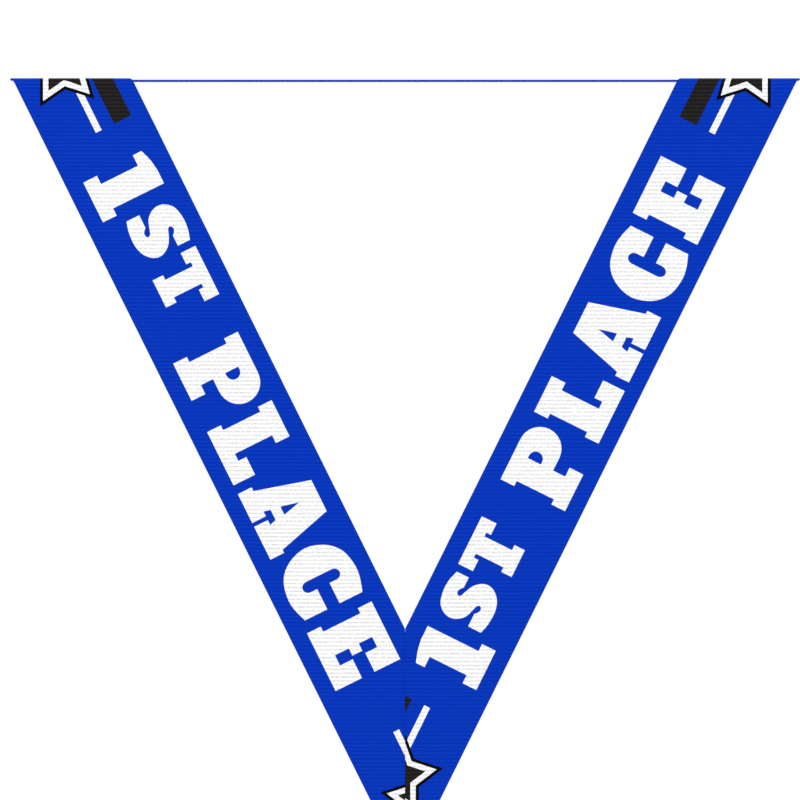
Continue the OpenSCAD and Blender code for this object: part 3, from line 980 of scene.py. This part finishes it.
def make_emblem():
    """A faceted star in a ring of beads."""
    base = FACE_Y - 0.01
    build = bmesh.new()
    outline = star(17.5)
    rim = [build.verts.new(Vector((x, base, z + MEDAL_Z)) * MM) for x, z in outline]
    edge = [build.verts.new(Vector((x, base - 0.22, z + MEDAL_Z)) * MM) for x, z in outline]
    peak = build.verts.new(Vector((0, base - 1.35, MEDAL_Z)) * MM)
    for i in range(10):
        j = (i + 1) % 10
        build.faces.new((rim[i], rim[j], edge[j], edge[i]))
        build.faces.new((edge[i], edge[j], peak))
    build.faces.new(rim[::-1])
    ring_r, beads = 21.1, 60
    for i in range(beads):
        a = 2 * math.pi * i / beads
        spot = Vector((ring_r * math.sin(a), base - 0.05, ring_r * math.cos(a) + MEDAL_Z)) * MM
        shape = Matrix.Translation(spot) @ Matrix.Diagonal((0.8 * MM, 0.35 * MM, 0.8 * MM, 1))
        bmesh.ops.create_uvsphere(build, u_segments=12, v_segments=8, radius=1, matrix=shape)
    bmesh.ops.recalc_face_normals(build, faces=build.faces)
    mesh = bpy.data.meshes.new("foil_star")
    build.to_mesh(mesh)
    build.free()
    mesh.shade_smooth()
    mesh.set_sharp_from_angle(angle=math.radians(4))
    return new_piece("foil_star", mesh, BRIGHT_GOLD)


def make_numeral():
    """A raised blue numeral on the star, in the ribbon's own lettering."""
    scale = 0.52
    build = bmesh.new()
    outline = [((x - 8.6) * scale, (y - CAP / 2) * scale) for x, y in figure_one()[0]]
    raised(build, outline, 1.45, FACE_Y - 0.05)
    bmesh.ops.recalc_face_normals(build, faces=build.faces)
    mesh = bpy.data.meshes.new("enamel_numeral")
    build.to_mesh(mesh)
    build.free()
    return new_piece("enamel_numeral", mesh, ENAMEL)


def fit_to_medal(piece, slot_name, *nodes):
    """A piece that rides on the medal and may stand for CAD nodes. The slot name is not used."""
    if nodes:
        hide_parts(*nodes)
    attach(piece, "medal")


fit_to_medal(make_medal_body(), "gold", "medal_body")
fit_to_medal(make_lug(), "gold")
fit_to_medal(make_dome(), "epoxy", "clear_dome")
fit_to_medal(make_emblem(), "gold_foil", "insert_emblem")
fit_to_medal(make_numeral(), "insert_blue")


# ---------------------------------------------------------------- materials of the CAD nodes

def finish_node(node, material):
    """Gives a CAD node its material."""
    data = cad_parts[node].data
    data.materials.clear()
    data.materials.append(material)


for node in ("triangle_ring", "swivel_eye"):
    finish_node(node, NICKEL)
for node in ("gate_pin", "gate_spring"):
    finish_node(node, STEEL)
for node in ("jump_ring", "back_plate"):
    finish_node(node, GOLD)
for node in ("insert_pad", "back_pad"):
    finish_node(node, FOAM)
finish_node("insert_disc", SUNBURST)


# ---------------------------------------------------------------- stage, light and camera

def paper(name, colour, roughness):
    """Matt stage material with a faint grain, and a painted glow: white emission that grows from 0.8 m to 5 m
    from the object, so the floor turns plain white far away.
    """
    material, tree, shader = node_tree(name)
    grain = add_node(tree, "ShaderNodeTexNoise", Scale=40.0, Detail=3.0, Roughness=0.5)
    tone = tree.nodes.new("ShaderNodeValToRGB")
    tone.color_ramp.elements[0].color = (*(0.98 * c for c in colour), 1)
    tone.color_ramp.elements[1].color = (*colour, 1)
    tree.links.new(grain.outputs["Fac"], tone.inputs["Fac"])
    tree.links.new(tone.outputs["Color"], shader.inputs["Base Color"])
    place = tree.nodes.new("ShaderNodeTexCoord")
    distance = add_node(tree, "ShaderNodeVectorMath")
    distance.operation = "LENGTH"
    # Painted light: the floor glows white, more strongly the further it lies from the object.
    painted_glow = add_node(tree, "ShaderNodeMapRange")
    painted_glow.interpolation_type = "SMOOTHSTEP"
    painted_glow.inputs["From Min"].default_value = 0.8
    painted_glow.inputs["From Max"].default_value = 5.0
    painted_glow.inputs["To Max"].default_value = 0.5
    tree.links.new(place.outputs["Object"], distance.inputs[0])
    tree.links.new(distance.outputs["Value"], painted_glow.inputs["Value"])
    tree.links.new(painted_glow.outputs["Result"], shader.inputs["Emission Strength"])
    shader.inputs["Emission Color"].default_value = (1, 1, 1, 1)
    shader.inputs["Roughness"].default_value = roughness
    return material


def make_floor():
    """A pale floor just below the medal."""
    depth = cad_box[0][2] / MM - 45
    half = 8000
    mesh = mesh_from("floor", [(-half, -half, depth), (half, -half, depth), (half, half, depth),
                               (-half, half, depth)], [(0, 1, 2, 3)])
    floor = new_piece("floor", mesh, paper("floor_paper", (0.84, 0.84, 0.84), 0.8))


def make_light(name, spot, target, size, power):
    """A soft square light that faces a target, both in metres."""
    lamp = bpy.data.lights.new(name, "AREA")
    lamp.shape = "SQUARE"
    lamp.size = size
    lamp.energy = power
    obj = bpy.data.objects.new(name, lamp)
    bpy.context.scene.collection.objects.link(obj)
    obj.location = spot
    obj.rotation_euler = (Vector(target) - Vector(spot)).to_track_quat("-Z", "Y").to_euler()
    obj.visible_camera = False


def make_world(low, high):
    """A studio that gets brighter from the horizon up, and looks plain white to the camera."""
    world = bpy.data.worlds.new("studio")
    bpy.context.scene.world = world
    world.use_nodes = True
    tree = world.node_tree
    direction = tree.nodes.new("ShaderNodeTexCoord")
    split = tree.nodes.new("ShaderNodeSeparateXYZ")
    level = add_node(tree, "ShaderNodeMapRange")
    level.interpolation_type = "SMOOTHSTEP"
    level.inputs["To Min"].default_value = low
    level.inputs["To Max"].default_value = high
    background = tree.nodes["Background"]
    background.inputs["Color"].default_value = (1, 1, 1, 1)
    tree.links.new(direction.outputs["Generated"], split.inputs["Vector"])
    tree.links.new(split.outputs["Z"], level.inputs["Value"])
    tree.links.new(level.outputs["Result"], background.inputs["Strength"])
    seen = add_node(tree, "ShaderNodeBackground", Color=(1, 1, 1, 1), Strength=1.0)
    path = tree.nodes.new("ShaderNodeLightPath")
    both = tree.nodes.new("ShaderNodeMixShader")
    tree.links.new(path.outputs["Is Camera Ray"], both.inputs["Fac"])
    tree.links.new(background.outputs["Background"], both.inputs[1])
    tree.links.new(seen.outputs["Background"], both.inputs[2])
    tree.links.new(both.outputs["Shader"], tree.nodes["World Output"].inputs["Surface"])


def make_camera():
    """Straight on to the V from far away: the picture's top is above the neck band, and its foot is just
    above the V's own foot."""
    picture = 283.3                       # width of the view at the V, in millimetres
    lens = 1200
    camera = bpy.data.cameras.new("camera")
    camera.lens = lens
    camera.sensor_width = 36
    camera.clip_end = 200
    obj = bpy.data.objects.new("camera", camera)
    bpy.context.scene.collection.objects.link(obj)
    distance = lens / camera.sensor_width * picture
    obj.location = Vector((-1.8, STRAP_Y - distance, -113)) * MM
    obj.rotation_euler = (math.radians(90), 0, 0)
    bpy.context.scene.camera = obj


make_floor()
make_world(0.2, 1.0)
centre = Vector((0, 0, -0.2))
make_light("key", (-1.1, -1.6, 0.9), centre, 2.2, 19)
make_light("fill", (1.5, -1.2, 0.2), centre, 1.6, 8)
make_light("rim", (0.6, 1.6, 0.8), centre, 1.6, 12)
make_camera()
bpy.context.scene.view_settings.view_transform = "Standard"
